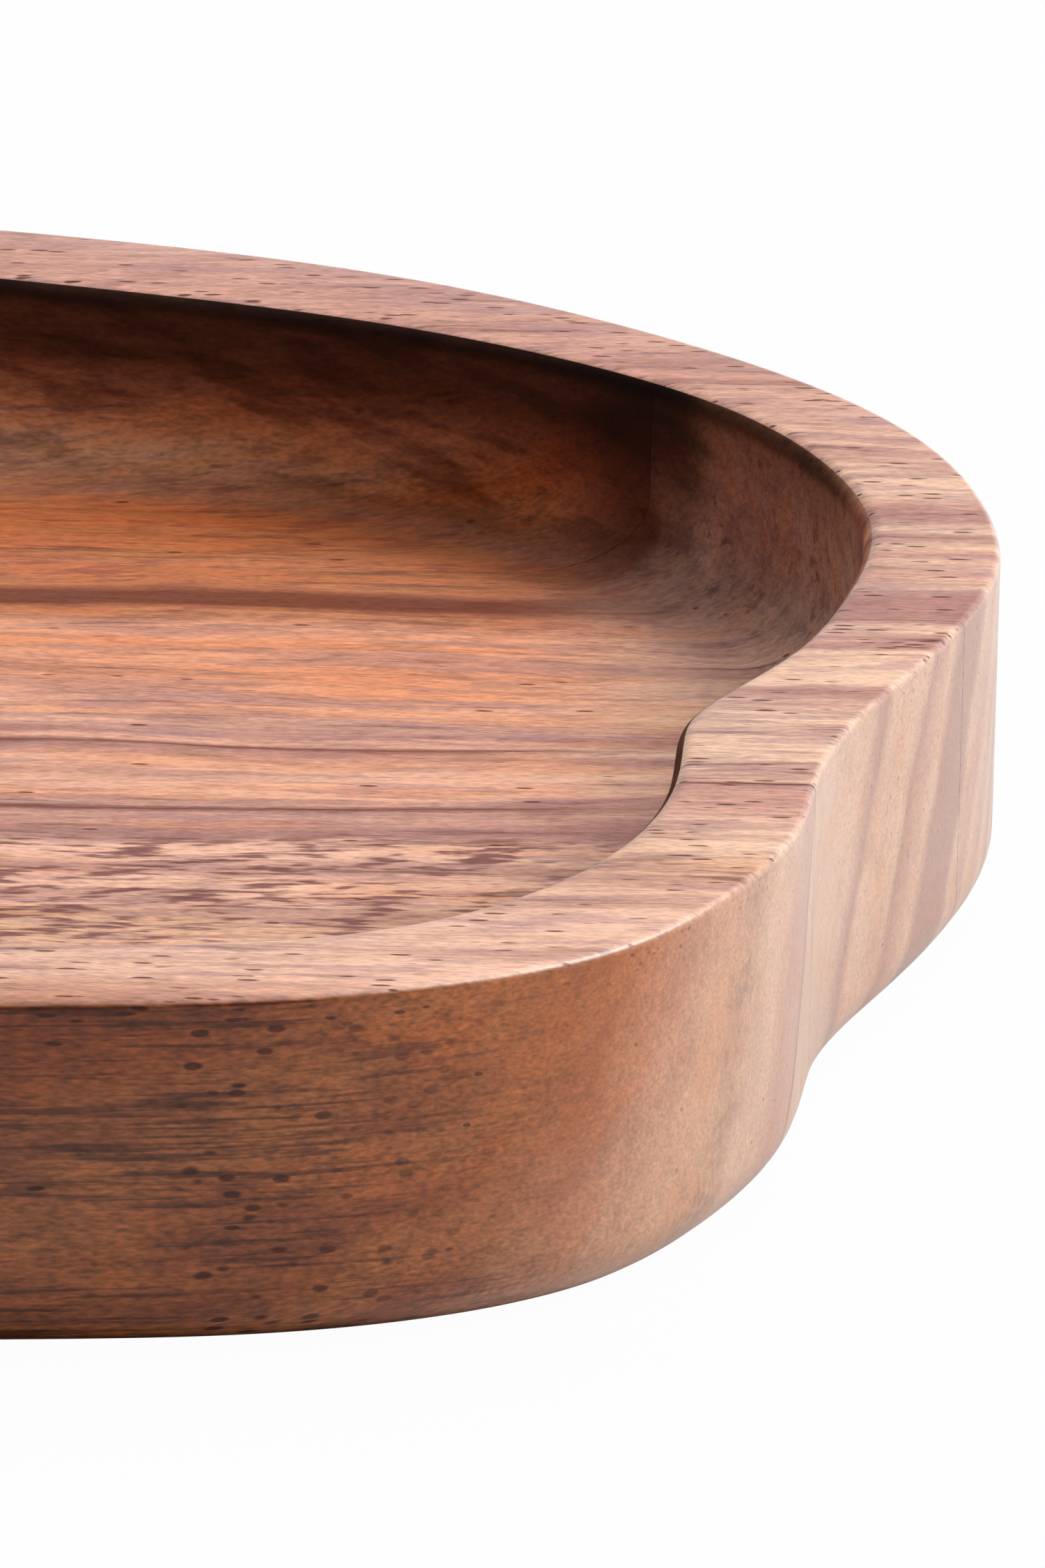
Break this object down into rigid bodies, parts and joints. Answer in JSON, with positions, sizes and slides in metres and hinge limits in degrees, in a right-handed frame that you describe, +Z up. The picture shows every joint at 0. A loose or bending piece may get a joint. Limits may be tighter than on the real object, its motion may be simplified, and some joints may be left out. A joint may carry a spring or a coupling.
{
  "type": "serving tray",
  "caption": "Carved hardwood serving tray, staves glued edge to edge, with a soft freeform outline waisted at each end and a flat coved well inside an even rim.",
  "frame": {"origin": "on the underside, at the middle of the tray's length and width", "axes": "+X along the grain and the tray's length, +Y across the staves, from stave_front to stave_back, +Z up out of the well"},
  "size_m": [0.3, 0.15, 0.022],
  "materials": {
    "front_wood": "hardwood, sanded and oiled to a satin sheen",
    "mid_front_wood": "hardwood, sanded and oiled to a satin sheen",
    "mid_back_wood": "hardwood, sanded and oiled to a satin sheen",
    "back_wood": "hardwood, sanded and oiled to a satin sheen"
  },
  "bodies": {
    "root": {"stave_front": "front_wood", "stave_mid_front": "mid_front_wood", "stave_mid_back": "mid_back_wood", "stave_back": "back_wood"}
  },
  "joints": []
}
